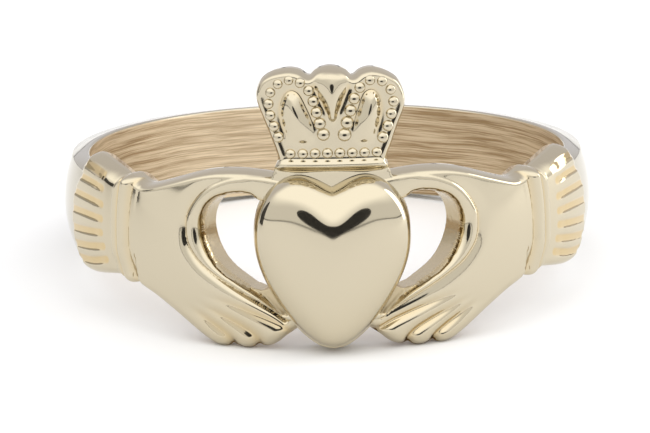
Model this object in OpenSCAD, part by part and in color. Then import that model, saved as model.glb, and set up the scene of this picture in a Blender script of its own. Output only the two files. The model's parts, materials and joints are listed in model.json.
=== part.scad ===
// Claddagh ring: two hands that hold a crowned heart, cast in one piece with its band.
// It lies on its side as it does on a table, on the fingertips and the back of the band, and
// the origin is the middle of the finger hole.

/* [Band] */
// Inside diameter of the ring
bore_d = 17.3; // [15.5:0.1:21]
// Width of the band along the finger
band_w = 3.4; // [2.8:0.1:4]
// Thickness of the band at the middle of its width
band_t = 0.95; // [0.8:0.05:1.1]
// Thickness of the band at its two rims
rim_t = 0.6; // [0.4:0.05:0.75]

/* [Cuffs] */
// Width of the cuff along the finger at its open end
cuff_w = 3.8; // [3.4:0.1:4.4]
// Length of the cuff round the band
cuff_len = 3.9; // [3:0.1:4.5]
// Thickness of the cuff from the bore to the top of its ribs
cuff_t = 1.25; // [1.1:0.05:1.5]
// Number of ribs on each cuff
ribs = 8; // [5:1:10]
// Depth of the grooves between the ribs
rib_depth = 0.14; // [0.05:0.01:0.25]
// Thickness of the rolled cord between cuff and hand
roll_d = 0.66; // [0.5:0.02:0.8]

/* [Hands] */
// Distance round the ring from the middle of the heart to the wrist
hand_len = 8.3; // [7.6:0.1:9]
// Height of the hand's upper edge above the middle of the band
hand_rise = 2.5; // [2:0.05:3]
// Reach of the fingertips below the middle of the band
finger_reach = 3.85; // [3.4:0.05:4.3]
// Thickness of the palm from the bore
palm_t = 1.35; // [1.2:0.05:1.6]
// Thickness of a finger
finger_d = 0.66; // [0.5:0.02:0.74]

/* [Openings] */
// Diameter of the round part of the opening, whose inner side the heart closes
open_d = 3.1; // [2.6:0.05:3.4]
// Distance from the middle of the round part to the opening's lower tip
open_tip = 2.6; // [2.2:0.05:2.9]
// Thickness of the rounded thumb round the opening
thumb_d = 0.64; // [0.5:0.02:0.76]

/* [Heart] */
// Width of the heart
heart_w = 5.7; // [5:0.1:6.4]
// Height of the heart from its point to the top of its lobes
heart_h = 6.3; // [5.6:0.1:6.8]
// Reach of the heart's point below the middle of the band
heart_low = 3.75; // [3.2:0.05:4.1]
// Thickness of the heart from the bore to the top of its dome
heart_t = 2.45; // [1.8:0.05:3]

/* [Crown] */
// Height of the crown's top above the middle of the band
crown_top = 6.55; // [6:0.05:7.4]
// Height of the crown above the middle of its bar
crown_h = 3.35; // [3:0.05:3.8]
// Width of the crown across its side lobes
crown_w = 5.35; // [4.8:0.05:6]
// Width of the crown at its foot
crown_foot_w = 3.95; // [3.4:0.05:4.4]
// Thickness of the crown from the bore to its border
crown_t = 1.4; // [1.2:0.05:1.7]
// Depth of the field inside the border
field_depth = 0.18; // [0.1:0.02:0.3]
// Width of the raised border
border_w = 0.28; // [0.2:0.02:0.36]
// Diameter of a side lobe
lobe_d = 2.4; // [2.1:0.05:2.7]
// Diameter of the middle lobe
mid_lobe_d = 1.44; // [1.2:0.04:1.7]
// Diameter of a bead
bead_d = 0.38; // [0.28:0.02:0.44]
// Number of beads along the foot
foot_beads = 8; // [5:1:9]
// Number of beads round the top of each side lobe
lobe_beads = 5; // [3:1:6]
// Number of beads down each side of a side lobe
side_beads = 4; // [2:1:5]
// Width of a raised drop at its head
drop_d = 0.92; // [0.6:0.04:1]
// Thickness of the bar at the crown's foot
bar_d = 0.42; // [0.3:0.02:0.5]

/* [Hidden] */

bore_r = bore_d / 2;
// How far each form runs inward past the bore before the bore is cut
sink = 0.25;
// How far outside the bore distances round the ring are measured
wrap_out = 1.2;
wrap_r = bore_r + wrap_out;

// Outline of the palm. Columns: distance from the heart's middle as a share of hand_len,
// upper edge as a share of hand_rise, lower edge as a share of finger_reach
PALM = [
    [0.14, 0.96, 0.70],
    [0.26, 0.98, 0.80],
    [0.36, 1.00, 0.87],
    [0.47, 1.00, 0.90],
    [0.56, 0.97, 0.88],
    [0.65, 0.92, 0.82],
    [0.74, 0.85, 0.70],
    [0.83, 0.78, 0.56],
    [0.92, 0.74, 0.46],
    [1.01, 0.72, 0.41],
];

// Fingers, from the forefinger to the little finger. Columns, for the knuckle and then the tip:
// distance from the heart's middle as a share of hand_len, depth as a share of finger_reach,
// thickness as a share of finger_d
FINGERS = [
    [0.60, 0.34, 1.15, 0.225, 0.79, 0.85],
    [0.65, 0.50, 1.00, 0.275, 0.95, 0.95],
    [0.68, 0.60, 0.95, 0.375, 0.985, 0.90],
    [0.70, 0.71, 0.95, 0.490, 1.00, 0.96],
];

// Right half of the heart's outline. Columns: share of half heart_w, share of heart_h up from the point
HEART = [
    [0.00, 0.000], [0.17, 0.020], [0.31, 0.060], [0.46, 0.115], [0.66, 0.225], [0.81, 0.340],
    [0.91, 0.430], [0.97, 0.520], [1.00, 0.620], [0.99, 0.720], [0.94, 0.820], [0.83, 0.910],
    [0.68, 0.970], [0.51, 1.000], [0.35, 0.995], [0.19, 0.970], [0.00, 0.920],
];

// Dome of the heart. Columns: size of the outline as a share, thickness as a share of heart_t
DOME = [[1.00, 0.36], [0.97, 0.50], [0.90, 0.68], [0.79, 0.83], [0.62, 0.93], [0.40, 0.985], [0.12, 1.00]];

// Middle of the opening's round part, beside the heart
open_x = heart_w / 2 + 0.24 * open_d;
open_z = hand_rise - thumb_d - open_d / 2;
// Angle by which the opening's tip leans towards the heart, and half the angle at the tip
open_lean = 23;
open_half = asin(open_d / 2 / open_tip);

// How far the thumb stands off the palm, and how deep knuckles and fingertips lie in it
thumb_rise = 0.06;
knuckle_sink = 0.1;
tip_sink = 0.15;

// Middle of a side lobe, whose top lies a little lower than the middle lobe's
lobe_dip = 0.05;
lobe_x = (crown_w - lobe_d) / 2;
lobe_z = crown_top - lobe_dip - lobe_d / 2;
// Clearance between the bar and the row of beads, and how far a bead's middle stands off the field
bead_gap = 0.04;
bead_rise = 0.05;
foot_z = crown_top - crown_h;
bead_row_z = foot_z + (bar_d + bead_d) / 2 + bead_gap;

// A place on the ring: x round the ring from the heart, z along the finger, h out from the bore
function spot(x, z, h) = let (a = x / wrap_r * 180 / PI)
    [(bore_r + h) * sin(a), -(bore_r + h) * cos(a), z];

// Radius and middle of a finger's knuckle and tip
function knuckle_r(f) = f[2] * finger_d / 2;
function knuckle(f) = spot(f[0] * hand_len, -f[1] * finger_reach, palm_t - knuckle_sink - knuckle_r(f));
function tip_r(f) = f[5] * finger_d / 2;
function tip(f) = spot(f[3] * hand_len, tip_r(f) - f[4] * finger_reach, palm_t - tip_sink - tip_r(f));

// The little fingertips and the back of the band lie on the table, so the ring leans back
little = FINGERS[len(FINGERS) - 1];
rest_run = bore_r + rim_t - tip(little)[1];
rest_drop = -tip(little)[2] - band_w / 2;
lean = atan(rest_drop / rest_run) + asin(tip_r(little) / norm([rest_run, rest_drop]));

// Skin over a row of closed sections that all have the same number of points
module skin(sections) {
    n = len(sections[0]);
    last = (len(sections) - 1) * n;
    points = [for (s = sections) each s];
    sides = [for (i = [0:len(sections) - 2], j = [0:n - 1])
        let (a = i * n + j, b = i * n + (j + 1) % n) each [[a, a + n, b], [b, a + n, b + n]]];
    polyhedron(points, concat(sides, [[for (j = [0:n - 1]) j], [for (j = [n - 1:-1:0]) last + j]]));
}

// Round outline of radius r1 that runs over a length into one of radius r2, right half only
module taper(r1, r2, length) {
    q = asin((r1 - r2) / length);
    intersection() {
        union() {
            circle(r1, $fn = 48);
            translate([0, length]) circle(r2, $fn = 48);
            polygon([[0, r1 * sin(q)], [r1 * cos(q), r1 * sin(q)], [r2 * cos(q), length + r2 * sin(q)],
                [0, length + r2 * sin(q)]]);
        }
        translate([0, -r1]) square([max(r1, r2), length + r1 + r2]);
    }
}

// Rod with round ends between two places
module rod(from, to, r1, r2) {
    d = to - from;
    translate(from) rotate([0, acos(d[2] / norm(d)), atan2(d[1], d[0])])
        rotate_extrude($fn = 48) taper(r1, r2, norm(d));
}

// What lies under an outline seen from the front, within a distance of the ring's axis
module pressed() {
    intersection() {
        rotate([90, 0, 0]) linear_extrude(2 * bore_r) children(0);
        children(1);
    }
}

// Ring-shaped solid with a low dome across its width, from low to high
module domed(t, low, high, dome) {
    rotate_extrude($fn = 96) intersection() {
        translate([bore_r - sink, low]) square([sink + t, high - low]);
        translate([bore_r + t - dome, (low + high) / 2]) circle(dome, $fn = 96);
    }
}

// A form set at x round the ring, z along the finger and h out from the bore, facing outward
module set_at(x, z, h, turn = 0) {
    rotate([0, 0, x / wrap_r * 180 / PI]) translate([0, -bore_r - h, z]) rotate([0, turn, 0]) children();
}

module band() {
    dome = (pow(band_w / 2, 2) + pow(band_t - rim_t, 2)) / (2 * (band_t - rim_t));
    color("lightgoldenrodyellow") domed(band_t, -band_w / 2, band_w / 2, dome);
}

// Part of a full turn, from one distance round the ring to another, of an outline beside the axis
module turned(from, to) {
    a = 180 / PI / wrap_r;
    rotate([0, 0, from * a - 90]) rotate_extrude(angle = (to - from) * a, $fn = 96) children();
}

// Sleeve end, plain beside the hand and ribbed beyond, and wider at its open end
module cuff() {
    start_x = hand_len - 0.3 * roll_d;
    end_x = hand_len + cuff_len;
    base_t = cuff_t - rib_depth;
    pitch = cuff_w / (ribs + 0.4);
    rib_r = 0.47 * pitch;
    // Fall of each rib below the one nearer the middle, as the cuff is domed across its width
    rib_fall = 0.02;
    front = function(x) (bore_r + cuff_t) * sin(x / wrap_r * 180 / PI);
    color("lightgoldenrodyellow") pressed() {
        polygon([[front(start_x), -0.40 * cuff_w], [front(end_x), -0.5 * cuff_w],
            [bore_r + 2 * cuff_t, -0.5 * cuff_w], [bore_r + 2 * cuff_t, 0.5 * cuff_w],
            [front(end_x), 0.5 * cuff_w], [front(start_x), 0.42 * cuff_w]]);
        union() {
            turned(start_x, end_x) intersection() {
                translate([bore_r - sink, -cuff_w / 2]) square([sink + base_t, cuff_w]);
                translate([bore_r + base_t - 2 * cuff_w, 0]) circle(2 * cuff_w, $fn = 96);
            }
            for (i = [0:ribs - 1]) let (off = i - (ribs - 1) / 2)
                turned(hand_len + 0.36 * cuff_len, end_x - 0.06 * cuff_len)
                    translate([bore_r + cuff_t - rib_r - rib_fall * abs(off), off * pitch])
                        circle(rib_r, $fn = 32);
        }
    }
}

module wrist_roll() {
    r = roll_d / 2;
    color("lightgoldenrodyellow") {
        rod(spot(0.965 * hand_len, 0.54 * cuff_w, cuff_t - r), spot(hand_len, 0, cuff_t - 0.5 * r), r, r);
        rod(spot(0.980 * hand_len, -0.42 * cuff_w, cuff_t - r), spot(hand_len, 0, cuff_t - 0.5 * r), r, r);
    }
}

module palm() {
    front = function(x) (bore_r + palm_t) * sin(x * hand_len / wrap_r * 180 / PI);
    upper = [for (p = PALM) [front(p[0]), p[1] * hand_rise]];
    lower = [for (i = [len(PALM) - 1:-1:0]) [front(PALM[i][0]), -PALM[i][2] * finger_reach]];
    color("lightgoldenrodyellow") pressed() {
        polygon(concat(upper, lower));
        domed(palm_t, -finger_reach, hand_rise, 3.2 * finger_reach);
    }
}

module fingers() {
    color("lightgoldenrodyellow") for (f = FINGERS) rod(knuckle(f), tip(f), knuckle_r(f), tip_r(f));
}

// Cutter for an opening: a round hole drawn out to a tip that points at the heart's point
module opening() {
    steps = 32;
    round_part = [for (k = [0:steps]) let (w = 180 - open_half + k * (180 + 2 * open_half) / steps)
        open_d / 2 * [cos(w), sin(w)]];
    set_at(open_x, open_z, -2 * sink, 180 + open_lean) rotate([90, 0, 0])
        linear_extrude(2 * palm_t + 2 * sink) polygon(concat(round_part, [[0, open_tip]]));
}

// Thumb and web round the opening and down its outer side, as one rounded rim
module thumb() {
    r = thumb_d / 2;
    rim_r = open_d / 2 + 0.9 * r;
    // The round part of the rim runs from the opening's straight side to the heart
    low = -open_lean - open_half;
    high = 135;
    corner = rim_r * [cos(low), 0, sin(low)];
    side = 0.9 * open_tip * cos(open_half) * [cos(low - 90), 0, sin(low - 90)];
    color("lightgoldenrodyellow") set_at(open_x, open_z, palm_t + thumb_rise - r) {
        rotate([90, 0, 0]) rotate([0, 0, low]) rotate_extrude(angle = high - low, $fn = 96)
            translate([rim_r, 0]) circle(r, $fn = 48);
        rod(corner, corner + side, r, 0.8 * r);
    }
}

module hand() {
    cuff();
    wrist_roll();
    palm();
    fingers();
    thumb();
}

module heart() {
    mid_z = 0.6 * heart_h - heart_low;
    right = [for (p = HEART) [p[0] * heart_w / 2, p[1] * heart_h - heart_low]];
    outline = concat(right, [for (i = [len(right) - 2:-1:1]) [-right[i][0], right[i][1]]]);
    section = function(size, h) [for (p = outline)
        spot(size * p[0], mid_z + size * (p[1] - mid_z), h)];
    color("lightgoldenrodyellow")
        skin(concat([section(1, -sink)], [for (row = DOME) section(row[0], row[1] * heart_t)]));
}

// Outline of the crown drawn in by a margin, as seen from the front
module crown_outline(margin) {
    for (side = [-1, 1]) translate([side * lobe_x, lobe_z]) circle(lobe_d / 2 - margin, $fn = 64);
    translate([0, crown_top - mid_lobe_d / 2]) circle(mid_lobe_d / 2 - margin, $fn = 64);
    foot = crown_foot_w / 2 - margin;
    // The straight sides run into the side lobes a little below their middle
    fall = 0.08 * lobe_d;
    waist = lobe_x + sqrt(pow(lobe_d / 2 - margin, 2) - pow(fall, 2));
    polygon([[-foot, foot_z], [foot, foot_z], [waist, lobe_z - fall], [lobe_x, lobe_z + fall],
        [-lobe_x, lobe_z + fall], [-waist, lobe_z - fall]]);
}

// Solid cylinder out to a thickness above the bore
module full(t) {
    cylinder(r = bore_r + t, h = 2 * crown_top, $fn = 96);
}

module crown_plate() {
    color("lightgoldenrodyellow") {
        pressed() {
            crown_outline(0);
            full(crown_t - field_depth);
        }
        pressed() {
            difference() {
                crown_outline(0);
                crown_outline(border_w);
                translate([-crown_w, 0]) square([2 * crown_w, foot_z]);
            }
            full(crown_t);
        }
        // Plain neck between the bar and the cleft of the heart
        pressed() {
            translate([-crown_foot_w / 2, 0]) square([crown_foot_w, foot_z]);
            full(crown_t - 1.6 * field_depth);
        }
    }
}

// A form set on the crown's field at x, z, raised off it and turned in its plane
module on_field(x, z, rise = 0, turn = 0) {
    r = bore_r + crown_t - field_depth + rise;
    rotate([0, 0, asin(x / r)]) translate([0, -r, z]) rotate([0, turn, 0]) children();
}

module bead() {
    sphere(d = bead_d, $fn = 24);
}

// Row of beads along the foot and a loop of beads in each side lobe
module beads() {
    // The loop's beads lap a little into the border
    loop_r = lobe_d / 2 - border_w - 0.4 * bead_d;
    row_w = crown_foot_w - 2.3 * bead_d;
    // The loops' lowest beads stand just above the row, below the lobe's sides and beside the middle
    fall = lobe_z - bead_row_z - 1.3 * bead_d;
    outer_in = 0.38 * (crown_w - crown_foot_w);
    inner_in = lobe_x - loop_r - 0.7 * bead_d;
    color("lightgoldenrodyellow") {
        for (i = [0:foot_beads - 1])
            on_field((i / (foot_beads - 1) - 0.5) * row_w, bead_row_z, bead_rise) bead();
        for (side = [-1, 1]) {
            for (i = [0:lobe_beads - 1]) let (q = 180 * i / (lobe_beads - 1))
                on_field(side * (lobe_x + loop_r * cos(q)), lobe_z + loop_r * sin(q), bead_rise) bead();
            for (i = [1:side_beads]) let (s = i / side_beads) {
                on_field(side * (lobe_x + loop_r - s * outer_in), lobe_z - s * fall, bead_rise) bead();
                on_field(side * (lobe_x - loop_r - s * inner_in), lobe_z - s * fall, bead_rise) bead();
            }
        }
    }
}

// Three raised drops with round heads, one in each lobe
module drops() {
    length = lobe_z - bead_row_z - bead_d / 2;
    r = drop_d / 2;
    // The side drops lean in towards the foot and lie a little deeper than the middle one
    drop_lean = 22;
    deeper = 0.08;
    color("lightgoldenrodyellow") {
        for (side = [-1, 1]) on_field(side * lobe_x, lobe_z - 0.2 * r, -deeper, 180 + side * drop_lean)
            rotate_extrude($fn = 48) taper(r, 0.35 * r, 0.85 * length);
        on_field(0, crown_top - mid_lobe_d / 2, 0, 180)
            rotate_extrude($fn = 48) taper(r, 0.2 * r, length);
    }
}

module crown_bar() {
    half = asin(0.42 * crown_foot_w / bore_r);
    color("lightgoldenrodyellow") rotate([0, 0, -90 - half]) rotate_extrude(angle = 2 * half, $fn = 96)
        translate([bore_r + crown_t - 0.4 * bar_d, foot_z]) circle(d = bar_d, $fn = 48);
}

module crown() {
    crown_plate();
    beads();
    drops();
    crown_bar();
}

module ring() {
    rotate([-lean, 0, 0]) difference() {
        union() {
            difference() {
                union() {
                    band();
                    hand();
                    mirror([1, 0, 0]) hand();
                }
                opening();
                mirror([1, 0, 0]) opening();
            }
            heart();
            crown();
        }
        cylinder(r = bore_r, h = 4 * crown_top, center = true, $fn = 96);
    }
}

ring();
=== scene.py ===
import json
import math

import bmesh
import bpy
import numpy as np
from mathutils import Matrix, Vector


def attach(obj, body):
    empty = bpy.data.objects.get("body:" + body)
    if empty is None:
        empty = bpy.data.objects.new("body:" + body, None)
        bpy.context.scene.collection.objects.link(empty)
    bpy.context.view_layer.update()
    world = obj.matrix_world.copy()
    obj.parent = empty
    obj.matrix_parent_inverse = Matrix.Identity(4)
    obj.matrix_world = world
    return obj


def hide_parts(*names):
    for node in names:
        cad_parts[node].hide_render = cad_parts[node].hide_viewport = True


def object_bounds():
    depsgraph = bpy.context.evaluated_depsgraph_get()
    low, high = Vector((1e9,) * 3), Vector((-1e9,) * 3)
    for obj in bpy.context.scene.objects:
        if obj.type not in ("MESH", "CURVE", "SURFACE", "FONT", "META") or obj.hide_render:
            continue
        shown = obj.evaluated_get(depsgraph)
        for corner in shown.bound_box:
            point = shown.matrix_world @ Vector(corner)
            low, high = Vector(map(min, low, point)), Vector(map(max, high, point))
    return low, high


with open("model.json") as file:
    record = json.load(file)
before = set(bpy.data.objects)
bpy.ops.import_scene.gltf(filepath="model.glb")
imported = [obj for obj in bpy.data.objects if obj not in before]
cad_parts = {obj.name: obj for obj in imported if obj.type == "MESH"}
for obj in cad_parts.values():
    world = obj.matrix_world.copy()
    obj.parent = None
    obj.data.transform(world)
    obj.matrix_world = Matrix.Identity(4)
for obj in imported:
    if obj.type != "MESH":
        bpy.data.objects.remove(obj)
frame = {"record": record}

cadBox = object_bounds()
mm = 0.001

# The finger hole, from the frame: its radius, and how far the ring leans back as it lies
fingerBore = frame["record"]["mounts"][0]
boreRadius = fingerBore["dims"]["r_mm"]
leanBack = math.atan2(fingerBore["axis"][1], fingerBore["axis"][2])
wrapRadius = boreRadius + 1.2      # distances round the ring are measured at this radius
wrapTurn = Matrix.Rotation(-leanBack, 3, "X")
softBand = 0.13                    # edges are smoothed within this distance of an outline


# Curves on the unrolled ring, in millimetres: u runs round it, z along the finger

def smoothLine(points, closed=False, steps=8):
    # a smooth line through every point
    p = np.array(points, float)
    if closed:
        before, start, end, after = (np.roll(p, k, axis=0) for k in (1, 0, -1, -2))
    else:
        longer = np.vstack([2 * p[0] - p[1], p, 2 * p[-1] - p[-2]])
        before, start, end, after = longer[:-3], longer[1:-2], longer[2:-1], longer[3:]
    t = (np.arange(steps) / steps)[None, :, None]
    a, b, c, d = (x[:, None, :] for x in (before, start, end, after))
    curve = b + 0.5 * (t * (c - a) + t**2 * (2*a - 5*b + 4*c - d) + t**3 * (3*b - a - 3*c + d))
    line = curve.reshape(-1, p.shape[1])
    return line if closed else np.vstack([line, p[-1]])


def nearestOn(line, places):
    # distance to a line, how far along it the nearest place lies as a share, that place, and the side
    run = np.concatenate([[0], np.cumsum(np.linalg.norm(np.diff(line, axis=0), axis=1))])
    best = np.full(len(places), 1e9)
    along, side = np.zeros(len(places)), np.ones(len(places))
    foot = np.zeros_like(places)
    for i in range(len(line) - 1):
        step = line[i + 1] - line[i]
        reach = step @ step
        if reach < 1e-12:
            continue
        t = np.clip((places - line[i]) @ step / reach, 0, 1)
        spot = line[i] + t[:, None] * step
        gap = places - spot
        far = np.hypot(gap[:, 0], gap[:, 1])
        closer = far < best
        best = np.where(closer, far, best)
        along = np.where(closer, run[i] + t * (run[i + 1] - run[i]), along)
        side = np.where(closer, np.sign(step[0] * gap[:, 1] - step[1] * gap[:, 0]), side)
        foot = np.where(closer[:, None], spot, foot)
    return best, along / run[-1], foot, side


def edgeOf(loop, places):
    # distance to a closed outline
    return nearestOn(np.vstack([loop, loop[:1]]), places)[0]


def insideOf(loop, places):
    # which places lie inside a closed outline
    hits = np.zeros(len(places), int)
    for a, b in zip(loop, np.roll(loop, -1, axis=0)):
        if a[1] == b[1]:
            continue
        level = (a[1] > places[:, 1]) != (b[1] > places[:, 1])
        cross = a[0] + (places[:, 1] - a[1]) * (b[0] - a[0]) / (b[1] - a[1])
        hits += level & (places[:, 0] < cross)
    return hits % 2 == 1


def ramp(x, start, end):
    # 0 before start, 1 after end, and smooth between them
    t = np.clip((x - start) / (end - start), 0, 1)
    return t * t * (3 - 2 * t)


def roundedEdge(far, radius, fall=None):
    # fall of a rounded edge below its face, at a distance from the edge
    near = np.clip(1 - far / radius, 0, 1)
    return (radius if fall is None else fall) * (1 - np.sqrt(1 - 0.94 * near**2))


def backEdge(far, width, rise):
    # rise of the inner face beside an edge whose back is rounded off
    near = np.clip(1 - far / width, 0, 1)
    return rise * (1 - np.sqrt(1 - 0.98 * near**2))


def aroundRing(u, z, t):
    # a place on the leaning ring from u, z and its height t above the bore
    angle = u / wrapRadius
    places = np.stack([(boreRadius + t) * np.sin(angle), -(boreRadius + t) * np.cos(angle), z], -1)
    return places @ np.array(wrapTurn).T


# Making and finishing pieces

def meshCo(mesh):
    co = np.empty(len(mesh.vertices) * 3)
    mesh.vertices.foreach_get("co", co)
    return co.reshape(-1, 3)


def setCo(mesh, co):
    mesh.vertices.foreach_set("co", np.asarray(co, np.float32).ravel())
    mesh.update()


def slabOf(name, loops, depth, voxel, relax=6):
    # an even mesh of a flat slab: outline and holes in x and z, and from 0 to depth along y
    bm = bmesh.new()
    for loop in loops:
        verts = [bm.verts.new((u, 0, z)) for u, z in loop]
        for a, b in zip(verts, verts[1:] + verts[:1]):
            bm.edges.new((a, b))
    bmesh.ops.triangle_fill(bm, use_beauty=True, use_dissolve=False, edges=bm.edges[:])
    lifted = bmesh.ops.extrude_face_region(bm, geom=bm.faces[:])["geom"]
    top = [v for v in lifted if isinstance(v, bmesh.types.BMVert)]
    bmesh.ops.translate(bm, verts=top, vec=(0, depth, 0))
    bmesh.ops.recalc_face_normals(bm, faces=bm.faces[:])
    rough = bpy.data.meshes.new(name + "Slab")
    bm.to_mesh(rough)
    bm.free()
    holder = bpy.data.objects.new(name + "Slab", rough)
    bpy.context.scene.collection.objects.link(holder)
    remesh = holder.modifiers.new("even", "REMESH")
    remesh.mode = "VOXEL"
    remesh.voxel_size = voxel
    remesh.adaptivity = 0
    shaped = holder.evaluated_get(bpy.context.evaluated_depsgraph_get())
    mesh = bpy.data.meshes.new_from_object(shaped)
    bpy.data.objects.remove(holder)

    bm = bmesh.new()
    bm.from_mesh(mesh)
    for _ in range(relax):
        bmesh.ops.smooth_vert(bm, verts=bm.verts[:], factor=0.5, use_axis_x=True, use_axis_z=True)
    bm.to_mesh(mesh)
    bm.free()

    # the walls go back onto the outline, and the two faces onto their planes
    co = meshCo(mesh)
    share = np.clip(co[:, 1] / depth, 0, 1)
    close = 0.6 * voxel / depth
    share = np.where(share > 1 - close, 1, np.where(share < close, 0, share))
    flat = co[:, [0, 2]]
    for loop in loops:
        ring = np.vstack([loop, loop[:1]])
        far, _, foot, _ = nearestOn(ring, flat)
        wall = (far < 1.2 * voxel) & (share > 0) & (share < 1)
        edge = (far < 0.75 * voxel) | wall
        flat = np.where(edge[:, None], foot, flat)
    return mesh, flat, share


def finishPiece(name, mesh, materials):
    # a mesh in millimetres becomes a piece that rides on the ring's body and stands for its node
    mesh.transform(Matrix.Scale(mm, 4))
    mesh.name = name
    piece = bpy.data.objects.new(name, mesh)
    bpy.context.scene.collection.objects.link(piece)
    for material in materials:
        mesh.materials.append(material)
    mesh.shade_smooth()
    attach(piece, "root")
    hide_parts("ring")
    print("made", name, "with", len(mesh.polygons), "faces")


def brushedInside(mesh, u, z, within):
    # faces whose corners all lie on the bore get the brushed material, laid out round the ring
    corners = np.empty(len(mesh.loops), int)
    mesh.loops.foreach_get("vertex_index", corners)
    layer = mesh.uv_layers.new(name="wrap")
    places = np.stack([u * boreRadius / wrapRadius, z], -1).astype(np.float32)
    layer.data.foreach_set("uv", places[corners].ravel())
    starts = np.empty(len(mesh.polygons), int)
    mesh.polygons.foreach_get("loop_start", starts)
    whole = np.logical_and.reduceat(within[corners], starts)
    mesh.polygons.foreach_set("material_index", whole.astype(int))


def pointValue(mesh, name, values):
    attribute = mesh.attributes.new(name, "FLOAT", "POINT")
    attribute.data.foreach_set("value", np.asarray(values, np.float32))


# Gold

def addNode(tree, kind, inputs, **settings):
    # a shader node with its settings, and each input set to a value or joined to an output
    node = tree.nodes.new(kind)
    for name, value in settings.items():
        setattr(node, name, value)
    for name, value in inputs.items():
        if isinstance(value, bpy.types.NodeSocket):
            tree.links.new(value, node.inputs[name])
        else:
            node.inputs[name].default_value = value
    return node


polish = {
    "color": (0.58, 0.515, 0.382, 1),
    "bandReflectColor": (0.54, 0.50, 0.405, 1),      # the outside of the band, paler and greyer than the rest: painted reflection of the grey room it mirrors
    # painted shade for the hollows: deeper, yellower gold
    "hollowShadeColor": (0.62, 0.485, 0.27, 1),
    "roughness": 0.07,
    "castRoughness": 0.42,
    "castMetallic": 0.55,
    "cloudScale": 900,
    "waveScale": 420,
    "waves": 0.05,
    "grainScale": 5000,
}


def polishedGold(name, color):
    # pale yellow gold with a mirror polish, duller and grainy where the cast skin was left
    material = bpy.data.materials.new(name)
    material.use_nodes = True
    tree = material.node_tree
    shader = tree.nodes["Principled BSDF"]
    place = addNode(tree, "ShaderNodeTexCoord", {}).outputs["Object"]
    cast = addNode(tree, "ShaderNodeAttribute", {}, attribute_name="cast").outputs["Fac"]
    hollowShade = addNode(tree, "ShaderNodeAttribute", {}, attribute_name="hollowShade").outputs["Fac"]

    # the cast skin scatters some light
    metal = addNode(tree, "ShaderNodeMapRange",
                    {"Value": cast, "To Min": 1.0, "To Max": polish["castMetallic"]})
    tree.links.new(metal.outputs["Result"], shader.inputs["Metallic"])

    # painted shade: colour a little deeper and yellower in the hollows, for the shade and the gold mirrored
    # in gold there
    tint = addNode(tree, "ShaderNodeMix",
                   {"Factor": hollowShade, "A": color, "B": polish["hollowShadeColor"]}, data_type="RGBA")
    tree.links.new(tint.outputs["Result"], shader.inputs["Base Color"])

    # faint cloudiness of the polish
    cloud = addNode(tree, "ShaderNodeTexNoise",
                    {"Vector": place, "Scale": polish["cloudScale"], "Detail": 4})
    sheen = addNode(tree, "ShaderNodeMapRange",
                    {"Value": cloud.outputs["Fac"], "To Min": polish["roughness"] * 0.6,
                     "To Max": polish["roughness"] * 1.4})
    dull = addNode(tree, "ShaderNodeMix",
                   {"Factor": cast, "A": sheen.outputs["Result"], "B": polish["castRoughness"]})
    tree.links.new(dull.outputs["Result"], shader.inputs["Roughness"])

    # slow waves left by hand polishing, and the grain of the cast skin
    waves = addNode(tree, "ShaderNodeTexNoise",
                    {"Vector": place, "Scale": polish["waveScale"], "Detail": 1})
    slow = addNode(tree, "ShaderNodeBump",
                   {"Height": waves.outputs["Fac"], "Strength": polish["waves"], "Distance": 0.1 * mm})
    grain = addNode(tree, "ShaderNodeTexNoise",
                    {"Vector": place, "Scale": polish["grainScale"], "Detail": 3})
    rough = addNode(tree, "ShaderNodeBump",
                    {"Height": grain.outputs["Fac"], "Strength": cast, "Distance": 0.03 * mm,
                     "Normal": slow.outputs["Normal"]})
    tree.links.new(rough.outputs["Normal"], shader.inputs["Normal"])
    return material


brush = {
    # the lines take colours between these two, darker and browner than the polished gold: painted shade of
    # the band's inside; the streaks are the brushing
    "color": (0.80, 0.665, 0.47, 1),
    "deepColor": (0.33, 0.225, 0.115, 1),
    "metallic": 0.6,
    "roughness": 0.42,
    "strength": 0.5,
    "wander": 0.25,             # how far the lines wander across the band, in millimetres
    "broad": (5.0, 0.22),       # length and width of the broad lines, in millimetres
    "fine": (2.4, 0.05),
    "contrast": (0.43, 0.56),   # levels of the lines at which each colour is reached
    "paintedLight": 0.35,               # painted light: how much brighter one side of the band's back is
    "paintedLightRise": (24.0, 29.0),   # where that starts and is full, in millimetres round the bore
    "paintedLightSink": (35.5, 31.5),   # where it ends, and where it starts to fade
}


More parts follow.
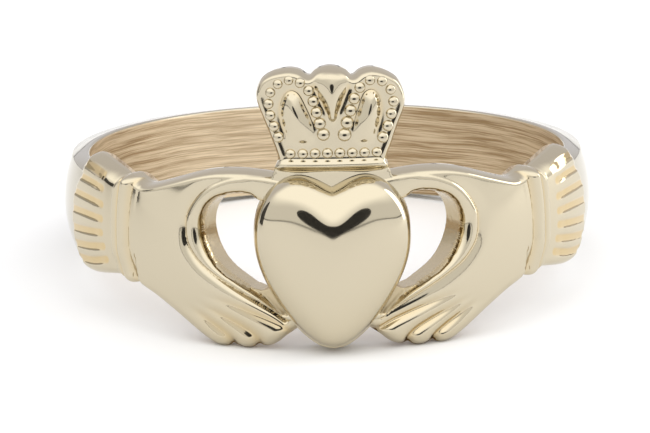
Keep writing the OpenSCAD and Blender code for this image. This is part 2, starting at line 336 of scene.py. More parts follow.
def brushedGold():
    # inside of the band: fine wavy lines that run round the ring, mostly darker and browner than the
    # polished gold as painted shade
    material = bpy.data.materials.new("brushedGold")
    material.use_nodes = True
    tree = material.node_tree
    shader = tree.nodes["Principled BSDF"]
    shader.inputs["Metallic"].default_value = brush["metallic"]
    wrap = addNode(tree, "ShaderNodeUVMap", {}, uv_map="wrap").outputs["UV"]
    bend = addNode(tree, "ShaderNodeTexNoise", {"Vector": wrap, "Scale": 0.35})
    shift = addNode(tree, "ShaderNodeVectorMath",
                    {0: bend.outputs["Color"], 1: (0.0, brush["wander"], 0.0), 2: wrap},
                    operation="MULTIPLY_ADD")

    def linesOf(size):
        length, width = size
        stretch = addNode(tree, "ShaderNodeMapping",
                          {"Vector": shift.outputs["Vector"], "Scale": (1 / length, 1 / width, 1)})
        noise = addNode(tree, "ShaderNodeTexNoise",
                        {"Vector": stretch.outputs["Vector"], "Scale": 1.0, "Detail": 5, "Roughness": 0.6})
        return noise.outputs["Fac"]

    broad = linesOf(brush["broad"])
    fine = linesOf(brush["fine"])
    half = addNode(tree, "ShaderNodeMath", {0: fine, 1: 0.5}, operation="MULTIPLY")
    both = addNode(tree, "ShaderNodeMath", {0: broad, 1: 0.5, 2: half.outputs["Value"]},
                   operation="MULTIPLY_ADD").outputs["Value"]

    # the lines' colour, with painted light on a stretch just beside the middle of the back
    dark, pale = brush["contrast"]
    level = addNode(tree, "ShaderNodeMapRange",
                    {"Value": both, "From Min": dark, "From Max": pale, "To Max": 1 - brush["paintedLight"]})
    turn = addNode(tree, "ShaderNodeSeparateXYZ", {"Vector": wrap}).outputs["X"]
    start, full = brush["paintedLightRise"]
    rise = addNode(tree, "ShaderNodeMapRange",
                   {"Value": turn, "From Min": start, "From Max": full, "To Max": brush["paintedLight"]},
                   interpolation_type="SMOOTHSTEP")
    end, fade = brush["paintedLightSink"]
    sink = addNode(tree, "ShaderNodeMapRange", {"Value": turn, "From Min": end, "From Max": fade},
                   interpolation_type="SMOOTHSTEP")
    bright = addNode(tree, "ShaderNodeMath",
                     {0: rise.outputs["Result"], 1: sink.outputs["Result"], 2: level.outputs["Result"]},
                     operation="MULTIPLY_ADD")
    tint = addNode(tree, "ShaderNodeMix",
                   {"Factor": bright.outputs["Value"], "A": brush["deepColor"], "B": brush["color"]},
                   data_type="RGBA")
    tree.links.new(tint.outputs["Result"], shader.inputs["Base Color"])

    sheen = addNode(tree, "ShaderNodeMapRange",
                    {"Value": fine, "To Min": brush["roughness"] + 0.1,
                     "To Max": brush["roughness"] - 0.06})
    tree.links.new(sheen.outputs["Result"], shader.inputs["Roughness"])
    grooves = addNode(tree, "ShaderNodeBump",
                      {"Height": both, "Strength": brush["strength"], "Distance": 0.05 * mm})
    tree.links.new(grooves.outputs["Normal"], shader.inputs["Normal"])
    return material


gold = polishedGold("polishedGold", polish["color"])
# gold for the band's outside, greyer as a painted reflection
bandReflectGold = polishedGold("bandReflectGold", polish["bandReflectColor"])
inside = brushedGold()


# Shank: the band behind the cuffs, flat inside and domed outside

shank = {
    "width": 3.4,
    "innerRadius": boreRadius + 0.010,
    "thickness": 0.95,
    "rimThickness": 0.60,
    "rimRound": 0.10,
    "domeInset": 0.06, # the dome starts this far inside each rim
    "from": 6.2,       # distance round the ring at which it starts, hidden under the hand
    "steps": 420,
}


def makeShank():
    half = shank["width"] / 2
    drop = shank["thickness"] - shank["rimThickness"]
    dome = (half**2 + drop**2) / (2 * drop)
    r0, edge = shank["innerRadius"], shank["rimRound"]
    # outline of the band: inner wall, rounded rims and the outer dome
    outline = []
    for k in range(7):
        a = math.radians(15 * k)
        outline.append((r0 + edge - edge * math.cos(a), -half + edge - edge * math.sin(a)))
    for z in np.linspace(shank["domeInset"] - half, half - shank["domeInset"], 25).tolist():
        outline.append((r0 + shank["thickness"] - dome + math.sqrt(dome**2 - z**2), z))
    for k in range(6, -1, -1):
        a = math.radians(15 * k)
        outline.append((r0 + edge - edge * math.cos(a), half - edge + edge * math.sin(a)))
    start = shank["from"] / wrapRadius
    bm = bmesh.new()
    verts = [bm.verts.new((r * math.sin(start), -r * math.cos(start), z)) for r, z in outline]
    edges = [bm.edges.new((a, b)) for a, b in zip(verts, verts[1:] + verts[:1])]
    ends = bmesh.ops.spin(bm, geom=verts + edges, axis=(0, 0, 1), cent=(0, 0, 0), steps=shank["steps"],
                          angle=2 * math.pi - 2 * start)["geom_last"]
    bmesh.ops.edgenet_fill(bm, edges=edges)
    bmesh.ops.edgenet_fill(bm, edges=[e for e in ends if isinstance(e, bmesh.types.BMEdge)])
    bmesh.ops.recalc_face_normals(bm, faces=bm.faces[:])
    layer = bm.loops.layers.uv.new("wrap")
    for face in bm.faces:
        middle = face.calc_center_median()
        radius = math.hypot(middle.x, middle.y)
        face.material_index = 1 if radius < r0 + 0.02 else 0
        for loop in face.loops:
            co = loop.vert.co
            angle = math.atan2(co.x, -co.y) % (2 * math.pi)
            loop[layer].uv = (angle * boreRadius, co.z)
    bm.transform(wrapTurn.to_4x4())
    mesh = bpy.data.meshes.new("shank")
    bm.to_mesh(mesh)
    bm.free()
    pointValue(mesh, "cast", np.zeros(len(mesh.vertices)))
    pointValue(mesh, "hollowShade", np.zeros(len(mesh.vertices)))
    finishPiece("shank", mesh, [bandReflectGold, inside])


makeShank()


# Hands: palm, four fingers, the lip from the thumb round the opening, and the wrist roll

hand = {
    "voxel": 0.040,
    "depth": 1.2,
    "innerHeight": -0.004,
    "palmHeight": 1.36,
    "palmMiddle": -0.1,
    "palmDome": 0.022,           # fall of the palm per square millimetre from its middle line
    "wristDip": 0.03,            # how much lower the palm is beside the wrist
    "topEdge": [(1.2, 2.40), (2.3, 2.56), (2.8, 2.61), (3.3, 2.64), (3.9, 2.63), (4.5, 2.57),
                (5.2, 2.42), (6.1, 2.15), (6.8, 1.95), (7.25, 1.85), (7.55, 1.87), (7.85, 1.99),
                (8.15, 2.09), (8.42, 2.03), (8.66, 1.84)],
    "wristEnd": [(8.82, 1.3), (8.88, 0.5), (8.89, -0.5), (8.82, -1.2)],
    "lowEdge": [(8.72, -1.62), (8.45, -1.80), (8.1, -1.86), (7.7, -1.86), (7.1, -2.12), (6.64, -2.40),
                (6.2, -2.67), (5.77, -2.96), (5.35, -3.26), (4.95, -3.54), (4.58, -3.75), (4.25, -3.83),
                (3.97, -3.79), (3.80, -3.69), (3.60, -3.78), (3.32, -3.84), (3.02, -3.80), (2.80, -3.68),
                (2.62, -3.74), (2.35, -3.72), (2.05, -3.58), (1.74, -3.34), (1.30, -3.04), (0.8, -2.6)],
    "topRound": 0.28,
    "topFall": 0.70,
    "topBack": (0.35, 0.60),     # how far the back of the top edge is rounded off, down and forward
    "tipBack": (0.50, 0.90),     # the same at the fingertips
    "lowRound": 0.40,
    "wristRound": (0.30, 0.40),  # the wrist's lower corner, which goes down under the cuff
    # inner edge of the lip, from the heart's upper side round the opening to the heart's lower side
    "lipInner": [(1.9, 1.30), (2.70, 1.62), (2.96, 1.76), (3.33, 1.80), (3.79, 1.74), (4.25, 1.57),
                 (4.57, 1.32), (4.78, 0.99), (4.87, 0.59), (4.83, 0.20), (4.70, -0.16), (4.52, -0.48),
                 (4.26, -0.80), (3.92, -1.08), (3.52, -1.32), (3.08, -1.58), (2.62, -1.88),
                 (2.25, -2.20), (1.90, -2.55)],
    # crease outside the lip, which becomes the upper side of the forefinger
    "lipOuter": [(3.2, 2.40), (3.79, 2.28), (4.51, 1.98), (5.02, 1.55), (5.36, 1.04), (5.46, 0.56),
                 (5.38, -0.06), (5.13, -0.50), (4.79, -0.86), (4.33, -1.18), (3.80, -1.50),
                 (3.26, -1.80), (2.70, -2.10), (2.18, -2.40), (1.75, -2.72)],
    "lipRound": 0.14,
    "lipSlope": 0.16,            # how much lower the lip is at the opening than at the crease
    "holeLow": [(2.95, -1.62), (2.6, -1.72), (1.9, -1.5)],
    "floorHeight": 1.0,
    # grooves between the fingers, each from the knuckles to the fingertips
    "grooves": [
        [(5.40, -1.80), (4.60, -2.00), (3.82, -2.21), (3.07, -2.48), (2.33, -2.78), (1.90, -3.00),
         (1.45, -3.25)],
        [(5.60, -1.95), (4.71, -2.38), (4.20, -2.62), (3.62, -2.91), (3.08, -3.22), (2.80, -3.50),
         (2.79, -3.80)],
        [(5.80, -2.20), (5.00, -2.65), (4.59, -2.93), (4.15, -3.24), (3.85, -3.50), (3.79, -3.80)],
    ],
    # wrist roll: the middle line of its larger bead, a crease, and a smaller bead beside the cuff
    "roll": [(7.86, 2.35), (8.01, 2.0), (8.16, 1.5), (8.26, 0.9), (8.31, 0.2), (8.31, -0.5), (8.26, -1.2),
             (8.14, -1.95)],
    "rollRadius": 0.25,
    "rollHeight": 1.57,
    "sideBead": (0.42, 0.21, 1.50),     # distance from the larger bead, radius and height
    "rollFoot": 1.22,
    "rollSoft": 0.05,            # how softly the roll runs into the palm
    "rollSink": 0.26,            # how much lower the roll is at its lower end
}


def handLines(places):
    # every distance on the hand that its height is worked out from
    lines = {"lipInner": hand["lipInner"], "lipOuter": hand["lipOuter"], "roll": hand["roll"],
             "topEdge": hand["topEdge"], "lowEdge": hand["lowEdge"], "wristEnd": hand["wristEnd"]}
    lines.update({"groove%d" % i: line for i, line in enumerate(hand["grooves"])})
    return {name: nearestOn(smoothLine(line, steps=5), places) for name, line in lines.items()}


def handHeights(places, lines, look):
    # height of the hand's face above the bore, with how much painted shade each place gets in its hollows
    # and how rough it is
    u, z = places[:, 0], places[:, 1]
    palm = hand["palmHeight"] - hand["palmDome"] * (z - hand["palmMiddle"])**2
    palm -= hand["wristDip"] * ramp(u, 6.6, 8.0)
    face, hollowShade = palm.copy(), np.zeros(len(u))

    # fingers: rounded ridges with grooves between them that deepen towards the tips
    for i in range(len(hand["grooves"])):
        far, along, _, _ = lines["groove%d" % i]
        near = np.exp(-(far / look["grooveWidth"])**1.5)
        deep = look["grooveDepth"] * ramp(along, 0.0, 0.75)
        face -= deep * near
        # painted shade in the grooves, stronger towards the tips
        hollowShade = np.maximum(hollowShade, 0.7 * near * ramp(along, 0.15, 0.7))

    # lip, with a crease outside it that is deepest beside the forefinger
    farOut, alongOut, _, _ = lines["lipOuter"]
    farIn = lines["lipInner"][0]
    outer = smoothLine(hand["lipOuter"], steps=5)
    inner = smoothLine(hand["lipInner"], steps=5)
    crease = look["creaseDepth"] * ramp(alongOut, 0.06, 0.32) * (1 + 0.8 * ramp(alongOut, 0.55, 0.95))
    face -= crease * np.exp(-(farOut / look["creaseWidth"])**1.3)
    lipSide = insideOf(np.vstack([outer, [(0.5, -2.7), (0.5, 2.4)]]), places)
    across = farOut / (farOut + farIn + 1e-6)
    rise = np.sqrt(np.clip(1 - (2 * across - 1)**2, 0, 1))
    lip = palm - crease - hand["lipSlope"] * across**2 + (crease + look["lipRise"]) * rise
    face = np.where(lipSide, lip, face)
    hollowShade = np.where(lipSide, 0, hollowShade)
    # painted shade along the crease outside the lip
    hollowShade = np.maximum(hollowShade, 0.6 * np.exp(-(farOut / 0.07)**2) * ramp(alongOut, 0.1, 0.4))

    # sunken floor beside the heart's point, where the cast skin was left
    recess = insideOf(np.vstack([inner, [(0.5, -2.5), (0.5, 1.3)]]), places)
    face -= np.where(recess, 0, roundedEdge(farIn, hand["lipRound"]))
    floor = hand["floorHeight"]
    face = np.where(recess, floor + (face - floor) * ramp(farIn, 0.10, 0.0), face)
    rough = np.where(recess, 1.0, 0)
    # painted shade over the sunken floor and along the opening's inner edge
    hollowShade = np.maximum(hollowShade, np.where(recess, 0.5, 0.8 * np.exp(-(farIn / 0.07)**2)))

    # wrist roll, which runs softly into the palm
    away = lines["roll"][0] * lines["roll"][3]
    radius, foot = hand["rollRadius"], hand["rollFoot"]
    bulge = foot + (hand["rollHeight"] - foot) * np.sqrt(np.clip(1 - (away / radius)**2, 0, 1))
    aside, small, high = hand["sideBead"]
    second = foot + (high - foot) * np.sqrt(np.clip(1 - ((away - aside) / small)**2, 0, 1))
    gap = np.clip((face - bulge) / hand["rollSoft"], -30, 30)
    merged = bulge + hand["rollSoft"] * np.log1p(np.exp(gap))
    rolled = np.where(away > 0, np.maximum(bulge, second), merged)
    rolled -= hand["rollSink"] * ramp(z, -0.5, -1.9)
    face = np.where(away > -2.2 * radius, rolled, face)
    # painted shade in the crease between the roll's two beads, and fainter on its palm side
    hollowShade = np.maximum(hollowShade, 0.9 * np.exp(-((away - 0.23) / 0.06)**2))
    hollowShade = np.maximum(hollowShade, 0.4 * np.exp(-((away + 0.27) / 0.08)**2))

    # rounded outer edges
    face -= roundedEdge(lines["topEdge"][0], hand["topRound"], hand["topFall"])
    face -= roundedEdge(lines["lowEdge"][0], hand["lowRound"] * (1 - 0.4 * ramp(u, 6.5, 7.5)))
    face -= roundedEdge(lines["wristEnd"][0], *hand["wristRound"]) * ramp(z, -0.9, -1.4)
    return face, hollowShade, rough


handLooks = {
    "handLeft": {"mirror": -1, "creaseDepth": 0.18, "creaseWidth": 0.17, "grooveDepth": 0.10,
                 "grooveWidth": 0.19, "lipRise": 0.05},
    "handRight": {"mirror": 1, "creaseDepth": 0.10, "creaseWidth": 0.30, "grooveDepth": 0.17,
                  "grooveWidth": 0.14, "lipRise": 0.05},
}


def outwardFaces(mesh, soft, rounds=3):
    # faces turned outward, and the marked places smoothed a little
    bm = bmesh.new()
    bm.from_mesh(mesh)
    bmesh.ops.recalc_face_normals(bm, faces=bm.faces[:])
    verts = [v for v, marked in zip(bm.verts, soft) if marked]
    for _ in range(rounds):
        bmesh.ops.smooth_vert(bm, verts=verts, factor=0.5, use_axis_x=True, use_axis_y=True, use_axis_z=True)
    bm.to_mesh(mesh)
    bm.free()


def makeHands():
    top, low = smoothLine(hand["topEdge"], steps=6), smoothLine(hand["lowEdge"], steps=6)
    end = smoothLine(hand["wristEnd"], steps=6)
    inner = smoothLine(hand["lipInner"], steps=6)
    stop = np.argmin(np.hypot(*(inner - np.array(hand["holeLow"][0])).T))
    # the opening leaves out the lip's first stretch, which lies under the heart
    hole = np.vstack([inner[4:stop], hand["holeLow"]])
    outline = np.vstack([top, end, low])
    slab, flat, share = slabOf("hand", [outline, hole], hand["depth"], hand["voxel"])
    lines = handLines(flat)
    rim = edgeOf(hole, flat)
    wall = (share > 0.02) & (share < 0.98) & (rim < 0.1)
    soft = np.minimum(rim, edgeOf(outline, flat)) < softBand
    under = hand["innerHeight"] + backEdge(lines["topEdge"][0], *hand["topBack"])
    under += backEdge(lines["lowEdge"][0], *hand["tipBack"]) * ramp(flat[:, 1], -2.2, -3.0)
    for name, look in handLooks.items():
        mesh = slab.copy()
        face, hollowShade, rough = handHeights(flat, lines, look)
        height = under + share * (face - under)
        setCo(mesh, aroundRing(look["mirror"] * flat[:, 0], flat[:, 1], height))
        pointValue(mesh, "cast", np.maximum(rough * (share > 0.9), 0.5 * wall))
        # painted shade in the hollows and on the walls of the opening
        pointValue(mesh, "hollowShade", np.maximum(hollowShade * (share > 0.9), 0.5 * wall))
        brushedInside(mesh, look["mirror"] * flat[:, 0], flat[:, 1], share < 0.02)
        outwardFaces(mesh, soft)
        finishPiece(name, mesh, [gold, inside])
    bpy.data.meshes.remove(slab)


makeHands()


# Cuffs: a plain strip beside the roll, then seven slots that fan out to the rounded open end

cuff = {
    "voxel": 0.040,
    "depth": 1.2,
    "innerHeight": -0.002,
    "outline": [(8.45, 1.72), (8.75, 1.92), (9.05, 2.04), (9.40, 2.15), (9.95, 2.30), (10.5, 2.42),
                (10.90, 2.44), (11.18, 2.28), (11.50, 1.85), (11.85, 1.28), (12.08, 0.72), (12.22, 0.20),
                (12.24, -0.35), (12.12, -0.85), (11.90, -1.25), (11.60, -1.58), (11.2, -1.80),
                (10.6, -1.86), (10.0, -1.82), (9.2, -1.72), (8.45, -1.68)],
    "height": 1.25,
    "middle": 0.2,
    "dome": 0.018,              # fall of the face per square millimetre from its middle line
    "stripDip": 0.03,           # how much lower the plain strip beside the roll is
    # middle line of each slot, from its outer to its inner end
    "slots": [[(11.00, 2.10), (10.3, 2.00), (9.60, 1.84)],
              [(11.34, 1.58), (10.4, 1.50), (9.64, 1.37)],
              [(11.80, 0.94), (10.7, 0.88), (9.66, 0.78)],
              [(12.02, 0.27), (10.9, 0.28), (9.70, 0.24)],
              [(12.02, -0.42), (10.9, -0.36), (9.72, -0.27)],
              [(11.78, -0.98), (10.7, -0.90), (9.60, -0.76)],
              [(11.40, -1.45), (10.4, -1.40), (9.45, -1.22)]],
    "slotDepth": 0.040,
    "slotWidth": 0.30,
    "topRound": 0.50,           # the face runs down over the top edge almost to the bore
    "topFall": 0.80,
    "topBack": (0.35, 0.50),
    "endRound": 0.26,
}


def makeCuffs():
    outline = smoothLine(cuff["outline"], steps=5)
    slab, flat, share = slabOf("cuff", [outline], cuff["depth"], cuff["voxel"])
    u, z = flat[:, 0], flat[:, 1]
    face = cuff["height"] - cuff["dome"] * (z - cuff["middle"])**2
    face -= cuff["stripDip"] * (1 - ramp(u, 9.0, 9.5))
    hollowShade = np.zeros(len(u))
    for line in cuff["slots"]:
        far, along, _, _ = nearestOn(smoothLine(line, steps=4), flat)
        near = 1 - ramp(far / cuff["slotWidth"], 0.32, 0.60)
        face -= cuff["slotDepth"] * near * (0.2 + 0.8 * ramp(along, 1.0, 0.75))
        # painted shade in the slots
        hollowShade = np.maximum(hollowShade, near)
    # distance to the outline, apart from its end under the roll
    far = nearestOn(outline, flat)[0]
    upper = ramp(z, 0.8, 1.6)
    bend = cuff["endRound"] + (cuff["topRound"] - cuff["endRound"]) * upper
    fall = cuff["endRound"] + (cuff["topFall"] - cuff["endRound"]) * upper
    face -= roundedEdge(far, bend, fall)
    under = cuff["innerHeight"] + backEdge(far, *cuff["topBack"]) * upper
    for name, way in (("cuffLeft", -1), ("cuffRight", 1)):
        mesh = slab.copy()
        setCo(mesh, aroundRing(way * u, z, under + share * (face - under)))
        pointValue(mesh, "cast", np.zeros(len(u)))
        pointValue(mesh, "hollowShade", hollowShade * (share > 0.9))
        brushedInside(mesh, way * u, z, share < 0.02)
        outwardFaces(mesh, far < softBand)
        finishPiece(name, mesh, [gold, inside])
    bpy.data.meshes.remove(slab)


makeCuffs()


# Heart: a high dome with two lobes and a cleft

heart = {
    "outline": [(0.0, 2.15), (0.35, 2.34), (0.70, 2.49), (1.12, 2.59), (1.58, 2.55), (1.95, 2.36),
                (2.33, 2.02), (2.66, 1.49), (2.82, 0.94), (2.87, 0.38), (2.84, -0.15), (2.74, -0.62),
                (2.57, -1.10), (2.30, -1.64), (1.88, -2.30), (1.32, -3.00), (0.86, -3.42),
                (0.45, -3.68), (0.0, -3.78)],
    "middle": (0.0, -0.10),
    "edgeHeight": 1.12,
    "topHeight": 2.46,
    "rim": 0.975,               # size of the dome's foot, which leaves a narrow flat rim outside it
    "innerHeight": -0.008,
    "steepness": 2.2,
    "fullness": (2.2, 1.0),     # of the dome's outline from crest to foot: up and down, and added sideways
    "valley": (0.15, 0.50),     # depth and width of the hollow that runs down from the cleft
    "crestLift": (0.32, 0.56),  # how far the crest moves up: everywhere, and added towards both lobes
    "lobeReach": 1.1,           # how fast that grows sideways, and where it levels off
    "lobeLimit": 1.48,
    "around": 256,
    "domeRings": 80,
    "innerRings": 12,
}


def heartReach():
    # distance from the heart's middle to its outline in each direction, as it is and with the cleft softened
    right = smoothLine(heart["outline"])
    loop = np.vstack([right, (right * [-1, 1])[::-1][1:-1]]) - heart["middle"]
    angle = np.arctan2(loop[:, 1], loop[:, 0])
    order = np.argsort(angle)
    directions = np.radians(np.arange(720) / 2)
    reach = np.interp(directions, angle[order], np.hypot(*loop[order].T), period=2 * math.pi)
    spread = np.radians(12)
    offset = np.minimum(directions, 2 * math.pi - directions)
    weight = np.exp(-0.5 * (offset / spread)**2)
    soft = np.real(np.fft.ifft(np.fft.fft(reach) * np.fft.fft(weight / weight.sum())))
    return directions, reach, soft


def makeHeart():
    directions, reach, soft = heartReach()
    edge, top = heart["edgeHeight"], heart["topHeight"]
    # rings from the crest down over the dome, the rim and the wall to the inner face: size and height
    rings = []
    last, inner = heart["domeRings"], heart["innerRings"]
    for k in range(last):
        a = math.radians(90 * k / last)
        rings.append((heart["rim"] * math.sin(a),
                      edge + (top - edge) * math.cos(a)**(2 / heart["steepness"])))
    rings.append((heart["rim"], edge))
    rings += [(0.984, edge - 0.004), (0.993, edge - 0.014), (0.999, edge - 0.035), (1.0, edge - 0.07)]
    rings += [(1.0, (edge - 0.07) * (1 - k / 8)) for k in range(1, 8)]
    rings += [(1.0, 0.02), (0.999, heart["innerHeight"])]
    rings += [(0.99 * (1 - k / inner), heart["innerHeight"]) for k in range(inner + 1)]
    bm = bmesh.new()
    bmesh.ops.create_uvsphere(bm, u_segments=heart["around"], v_segments=len(rings) - 1, radius=1)
    mesh = bpy.data.meshes.new("heart")
    bm.to_mesh(mesh)
    bm.free()
    co = meshCo(mesh)
    turn = np.arctan2(co[:, 1], co[:, 0]) % (2 * math.pi)
    ring = np.rint(np.arccos(np.clip(co[:, 2], -1, 1)) / math.pi * (len(rings) - 1)).astype(int)
    size, height = np.array(rings)[ring].T
    onDome = ring <= last
    # the dome is fuller sideways than up and down
    full, more = heart["fullness"]
    foot = heart["rim"]
    size = np.where(onDome, foot * (size / foot)**(2 / (full + more * np.cos(turn)**2)), size)
    # the cleft fades away towards the crest
    firm = size**2.5
    far = (np.interp(turn, directions, reach, period=2 * math.pi) * firm
           + np.interp(turn, directions, soft, period=2 * math.pi) * (1 - firm)) * size
    u = heart["middle"][0] + far * np.cos(turn)
    z = heart["middle"][1] + far * np.sin(turn)
    deep, wide = heart["valley"]
    height -= deep * np.exp(-(u / wide)**2) * ramp(z, 0.4, 2.1) * onDome
    lift, lobes = heart["crestLift"]
    limit = heart["lobeLimit"]
    lift += lobes * limit * np.tanh((u / heart["lobeReach"])**2 / limit)
    z += lift * np.clip(1 - (size / foot)**2, 0, 1) * onDome
    setCo(mesh, aroundRing(u, z, height))
    pointValue(mesh, "cast", np.zeros(len(u)))
    pointValue(mesh, "hollowShade", np.zeros(len(u)))
    brushedInside(mesh, u, z, ring >= len(rings) - 1 - inner)
    finishPiece("heart", mesh, [gold, inside])


makeHeart()


# Crown: a three-lobed plate with a raised border, beads, three drops and a bar at its foot

crown = {
    "voxel": 0.034,
    "depth": 1.2,
    "innerHeight": -0.006,
    "outline": [(-2.10, 1.90), (-2.12, 2.50), (-2.03, 2.80), (-1.97, 3.10), (-2.10, 3.52), (-2.31, 4.07),
                (-2.51, 4.56), (-2.67, 4.98), (-2.76, 5.35), (-2.70, 5.69), (-2.52, 5.99), (-2.20, 6.20),
                (-1.84, 6.30), (-1.48, 6.34), (-1.11, 6.27), (-0.80, 6.08), (-0.57, 6.26), (-0.31, 6.37),
                (0.00, 6.42), (0.33, 6.36), (0.60, 6.24), (0.82, 6.06), (1.09, 6.24), (1.44, 6.33),
                (1.80, 6.28), (2.16, 6.14), (2.49, 5.91), (2.69, 5.56), (2.77, 5.22), (2.74, 4.90),
                (2.63, 4.58), (2.46, 4.18), (2.26, 3.62), (2.07, 3.15), (2.04, 2.82), (2.14, 2.50),
                (2.12, 1.90)],
    "border": 1.42,
    "borderWidth": 0.24,
    "field": 1.30,
    "neck": 1.19,
    "edgeRound": 0.36,
    "edgeFall": 0.75,
    "edgeBack": (0.40, 0.65),
    "bar": (2.92, 0.16, 1.44),          # middle, half width and height
    "creaseDepth": 0.036,               # of the fine crease along the sides of each drop
    "creaseWidth": 0.07,
    "beadPaths": [
        ([(-1.86, 3.92), (-2.02, 4.34), (-2.14, 4.72), (-2.19, 5.11), (-2.14, 5.47), (-1.93, 5.77),
          (-1.56, 5.95), (-1.18, 5.93), (-0.84, 5.70), (-0.65, 5.32), (-0.52, 4.90), (-0.41, 4.47),
          (-0.27, 4.02)], 13),
        ([(0.47, 4.00), (0.60, 4.56), (0.77, 5.12), (0.95, 5.57), (1.24, 5.86), (1.59, 5.95),
          (1.96, 5.78), (2.17, 5.45), (2.22, 5.07), (2.13, 4.67), (2.00, 4.24), (1.82, 3.86)], 12),
        ([(-1.44, 3.32), (0.0, 3.34), (1.60, 3.33)], 8),
    ],
    # width of the beads at the start, middle and end of each row
    "beadSizes": [(0.40, 0.35, 0.47), (0.50, 0.37, 0.42), (0.38, 0.40, 0.38)],
    "beadFull": 0.80,                   # height of a bead as a share of half its width
    "beadLean": 0.12,
}

# Drops of the crown, each with its outline, the line its crest runs along and its height
drops = [
    {"outline": [(-1.78, 5.05), (-1.62, 5.42), (-1.38, 5.58), (-1.12, 5.44), (-0.92, 5.05), (-0.70, 4.55),
                 (-0.56, 4.05), (-0.62, 3.70), (-1.05, 3.64), (-1.48, 3.72), (-1.66, 4.12), (-1.78, 4.62)],
     "crest": [(-1.38, 5.26), (-1.28, 4.90), (-1.14, 4.50), (-0.98, 3.98)], "rise": 0.29},
    {"outline": [(1.78, 5.05), (1.66, 5.42), (1.44, 5.58), (1.17, 5.44), (1.02, 5.05), (0.86, 4.55),
                 (0.76, 4.05), (0.84, 3.70), (1.18, 3.64), (1.50, 3.72), (1.64, 4.12), (1.76, 4.62)],
     "crest": [(1.43, 5.26), (1.38, 4.90), (1.28, 4.50), (1.16, 3.98)], "rise": 0.29},
    {"outline": [(-0.60, 5.75), (-0.58, 6.10), (-0.32, 6.40), (0.02, 6.48), (0.38, 6.40), (0.64, 6.08),
                 (0.64, 5.72), (0.46, 5.30), (0.28, 4.85), (0.16, 4.52), (0.06, 4.30), (-0.04, 4.52),
                 (-0.20, 4.90), (-0.42, 5.35)],
     "crest": [(0.02, 6.02), (0.04, 5.65), (0.05, 5.20), (0.06, 4.60)], "rise": 0.34},
]


def crownHeights(places):
    x, z = places[:, 0], places[:, 1]
    outline = smoothLine(crown["outline"], closed=True, steps=5)
    far = edgeOf(outline, places)
    width = crown["borderWidth"]
    rim = 1 - ramp(far, width - 0.10, width + 0.14)
    face = crown["field"] + (crown["border"] - crown["field"]) * rim * ramp(z, 2.9, 3.2)
    hollowShade = np.zeros(len(x))
    for drop in drops:
        loop = smoothLine(drop["outline"], closed=True, steps=4)
        edge = edgeOf(loop, places)
        crest, along, _, _ = nearestOn(smoothLine(drop["crest"], steps=4), places)
        share = np.clip(edge / (edge + crest + 1e-6), 0, 1)
        # its crest leans back at the top, is highest before its middle and sinks towards its foot
        past = along - 0.40
        dome = 0.6 * (1 - (1 - share)**2) + 0.4 * share * share * (3 - 2 * share)
        swell = drop["rise"] * dome * (1 - np.where(past < 0, 1.4, 1.1) * past**2)
        face = np.where(insideOf(loop, places), np.maximum(face, crown["field"] - 0.02 + swell), face)
        # a fine crease along its sides, with painted shade in it
        crease = np.exp(-(edge / crown["creaseWidth"])**2) * ramp(far, 0.22, 0.40) * ramp(along, 0.98, 0.70)
        face -= crown["creaseDepth"] * crease
        hollowShade = np.maximum(hollowShade, 0.5 * crease)
    # flat field below the bar, and the bar
    middle, half, high = crown["bar"]
    face += (crown["neck"] - face) * ramp(z, middle + 0.05, middle - 0.05)
    face = np.maximum(face, crown["neck"] + (high - crown["neck"]) * np.exp(-((z - middle) / half)**4))
    face -= roundedEdge(far, crown["edgeRound"], crown["edgeFall"] * ramp(z, 2.6, 3.2))
    under = crown["innerHeight"] + backEdge(far, *crown["edgeBack"]) * ramp(z, 3.6, 4.6)
    return face, under, hollowShade


def makeCrown():
    outline = smoothLine(crown["outline"], closed=True, steps=6)
    mesh, flat, share = slabOf("crown", [outline], crown["depth"], crown["voxel"])
    face, under, hollowShade = crownHeights(flat)
    setCo(mesh, aroundRing(flat[:, 0], flat[:, 1], under + share * (face - under)))
    pointValue(mesh, "cast", np.zeros(len(share)))
    pointValue(mesh, "hollowShade", hollowShade * (share > 0.9))
    brushedInside(mesh, flat[:, 0], flat[:, 1], share < 0.02)
    outwardFaces(mesh, np.ones(len(share), bool), 8)
    ball = bmesh.new()
    bmesh.ops.create_uvsphere(ball, u_segments=28, v_segments=18, radius=0.5)
    bead = bpy.data.meshes.new("bead")
    ball.to_mesh(bead)
    ball.free()
    # a low dome with a nearly flat top, which leans back a little
    shape = meshCo(bead)
    out = 2 * np.hypot(shape[:, 0], shape[:, 2])
    lift = 0.5 * np.sqrt(np.clip(1 - out**2.6, 0, 1)) * (shape[:, 1] < 0) - crown["beadLean"] * shape[:, 2]
    bm = bmesh.new()
    bm.from_mesh(mesh)
    for (path, count), sizes in zip(crown["beadPaths"], crown["beadSizes"]):
        line = smoothLine(path)
        run = np.concatenate([[0], np.cumsum(np.linalg.norm(np.diff(line, axis=0), axis=1))])
        for i in range(count):
            part = i / (count - 1)
            x, z = (np.interp(part * run[-1], run, line[:, k]) for k in (0, 1))
            size = np.interp(part, [0, 0.5, 1], sizes)
            foot = crownHeights(np.array([[x, z]]))[0][0] - 0.02
            deep = 0.3 * np.clip(shape[:, 1], 0, 1)
            setCo(bead, aroundRing(x + size * shape[:, 0], z + size * shape[:, 2],
                                   foot + size * (crown["beadFull"] * lift - deep)))
            bm.from_mesh(bead)
    bm.to_mesh(mesh)
    bm.free()
    bpy.data.meshes.remove(bead)
    finishPiece("crown", mesh, [gold, inside])


makeCrown()


# Floor, lights and camera

stage = {"floorSize": 1.2, "floorColor": (0.92, 0.92, 0.92, 1)}


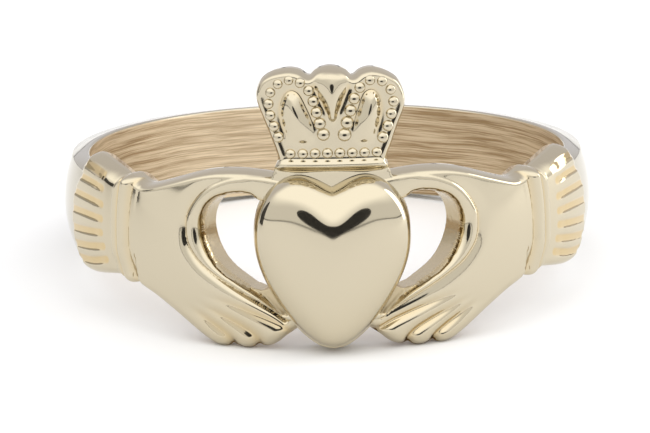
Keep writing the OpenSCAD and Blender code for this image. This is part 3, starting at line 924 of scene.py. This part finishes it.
def makeFloor():
    bm = bmesh.new()
    bmesh.ops.create_grid(bm, x_segments=1, y_segments=1, size=stage["floorSize"] / 2)
    bmesh.ops.translate(bm, verts=bm.verts[:], vec=(0, 0, cadBox[0].z))
    mesh = bpy.data.meshes.new("floor")
    bm.to_mesh(mesh)
    bm.free()
    floor = bpy.data.objects.new("floor", mesh)
    bpy.context.scene.collection.objects.link(floor)
    material = bpy.data.materials.new("paleFloor")
    material.use_nodes = True
    shader = material.node_tree.nodes["Principled BSDF"]
    shader.inputs["Base Color"].default_value = stage["floorColor"]
    shader.inputs["Roughness"].default_value = 0.9
    mesh.materials.append(material)


makeFloor()

camera = {
    "elevation": 11.15,     # above the plane of the ring, in degrees
    "azimuth": 1.0,
    "roll": 0.7,
    "distance": 300.0,
    "frameWidth": 23.83,    # millimetres across the picture at the ring's axis
    "holePixel": (327.1, 192.3),
    "picture": (650, 433),
}


def makeCamera():
    e = math.radians(camera["elevation"]) + leanBack
    a = math.radians(camera["azimuth"])
    back = Vector((-math.sin(a) * math.cos(e), -math.cos(a) * math.cos(e), math.sin(e)))
    right = Vector((math.cos(a), -math.sin(a), 0))
    up = right.cross(-back)
    turn = Matrix((right, up, back)).transposed() @ Matrix.Rotation(math.radians(-camera["roll"]), 3, "Z")
    width, height = camera["picture"]
    scale = camera["frameWidth"] / width
    aside = (width / 2 - camera["holePixel"][0]) * scale
    above = (camera["holePixel"][1] - height / 2) * scale
    # the finger hole's middle shows at its pixel
    place = back * camera["distance"] + turn @ Vector((aside, above, 0))
    data = bpy.data.cameras.new("camera")
    data.sensor_width = 36
    data.lens = 36 * camera["distance"] / camera["frameWidth"]
    data.clip_start, data.clip_end = 0.01, 10
    shooter = bpy.data.objects.new("camera", data)
    shooter.matrix_world = Matrix.Translation(place * mm) @ turn.to_4x4()
    bpy.context.scene.collection.objects.link(shooter)
    bpy.context.scene.camera = shooter


makeCamera()


room = {
    "low": (0.98, 0.98, 0.98, 1),        # the room in front of the ring and to its sides, low down
    "high": (1.65, 1.65, 1.65, 1),       # the soft light in front, higher up
    "back": (0.80, 0.79, 0.83, 1),       # the far side of the room, which the top edges mirror
    "edge": (0.20, 0.20, 0.20, 1),       # the line where the table ends
}


def makeRoom():
    world = bpy.data.worlds.new("studio")
    world.use_nodes = True
    tree = world.node_tree
    place = addNode(tree, "ShaderNodeTexCoord", {})
    parts = addNode(tree, "ShaderNodeSeparateXYZ", {"Vector": place.outputs["Generated"]})
    under = room["low"]
    steps = ((room["high"], "Z", 0.25, 0.62), (room["back"], "Y", 0.0, 0.55),
             (room["edge"], "Z", 0.016, 0.006))
    for over, axis, start, end in steps:
        step = addNode(tree, "ShaderNodeMapRange",
                       {"Value": parts.outputs[axis], "From Min": start, "From Max": end},
                       interpolation_type="SMOOTHSTEP")
        mix = addNode(tree, "ShaderNodeMix", {"Factor": step.outputs["Result"], "A": under, "B": over},
                      data_type="RGBA")
        under = mix.outputs["Result"]
    tree.links.new(under, tree.nodes["Background"].inputs["Color"])
    bpy.context.scene.world = world
    bpy.context.scene.view_settings.view_transform = "Standard"


makeRoom()


# Oval cards out of the picture: direction from the front in degrees, distance, width, height and
# height of the foot above the table in millimetres, and brightness
cards = {
    "cameraCard": (3.0, 500.0, 400.0, 165.0, 10.0, 0.0),
    "leftCard": (-91.0, 48.0, 17.0, 38.0, -16.0, 0.02),
    "rightLight": (100.0, 60.0, 24.0, 60.0, -4.0, 3.6),
    "leftGrey": (-120.0, 60.0, 32.0, 26.0, -6.0, 0.45),
}


def makeCards():
    for name, (side, far, wide, high, foot, bright) in cards.items():
        a = math.radians(side)
        middle = Vector((math.sin(a) * far, -math.cos(a) * far, cadBox[0].z / mm + foot + high / 2))
        bm = bmesh.new()
        bmesh.ops.create_circle(bm, cap_ends=True, segments=64, radius=0.5)
        bmesh.ops.scale(bm, verts=bm.verts[:], vec=(wide, high, 1))
        upright = Matrix.Rotation(a, 4, "Z") @ Matrix.Rotation(math.pi / 2, 4, "X")
        bm.transform(Matrix.Translation(middle) @ upright)
        mesh = bpy.data.meshes.new(name)
        bm.to_mesh(mesh)
        bm.free()
        mesh.transform(Matrix.Scale(mm, 4))
        card = bpy.data.objects.new(name, mesh)
        bpy.context.scene.collection.objects.link(card)
        material = bpy.data.materials.new(name)
        material.use_nodes = True
        shader = material.node_tree.nodes["Principled BSDF"]
        shader.inputs["Base Color"].default_value = (0.02, 0.02, 0.02, 1)
        shader.inputs["Emission Color"].default_value = (1, 1, 1, 1)
        shader.inputs["Emission Strength"].default_value = bright
        mesh.materials.append(material)
        card.visible_camera = False


makeCards()
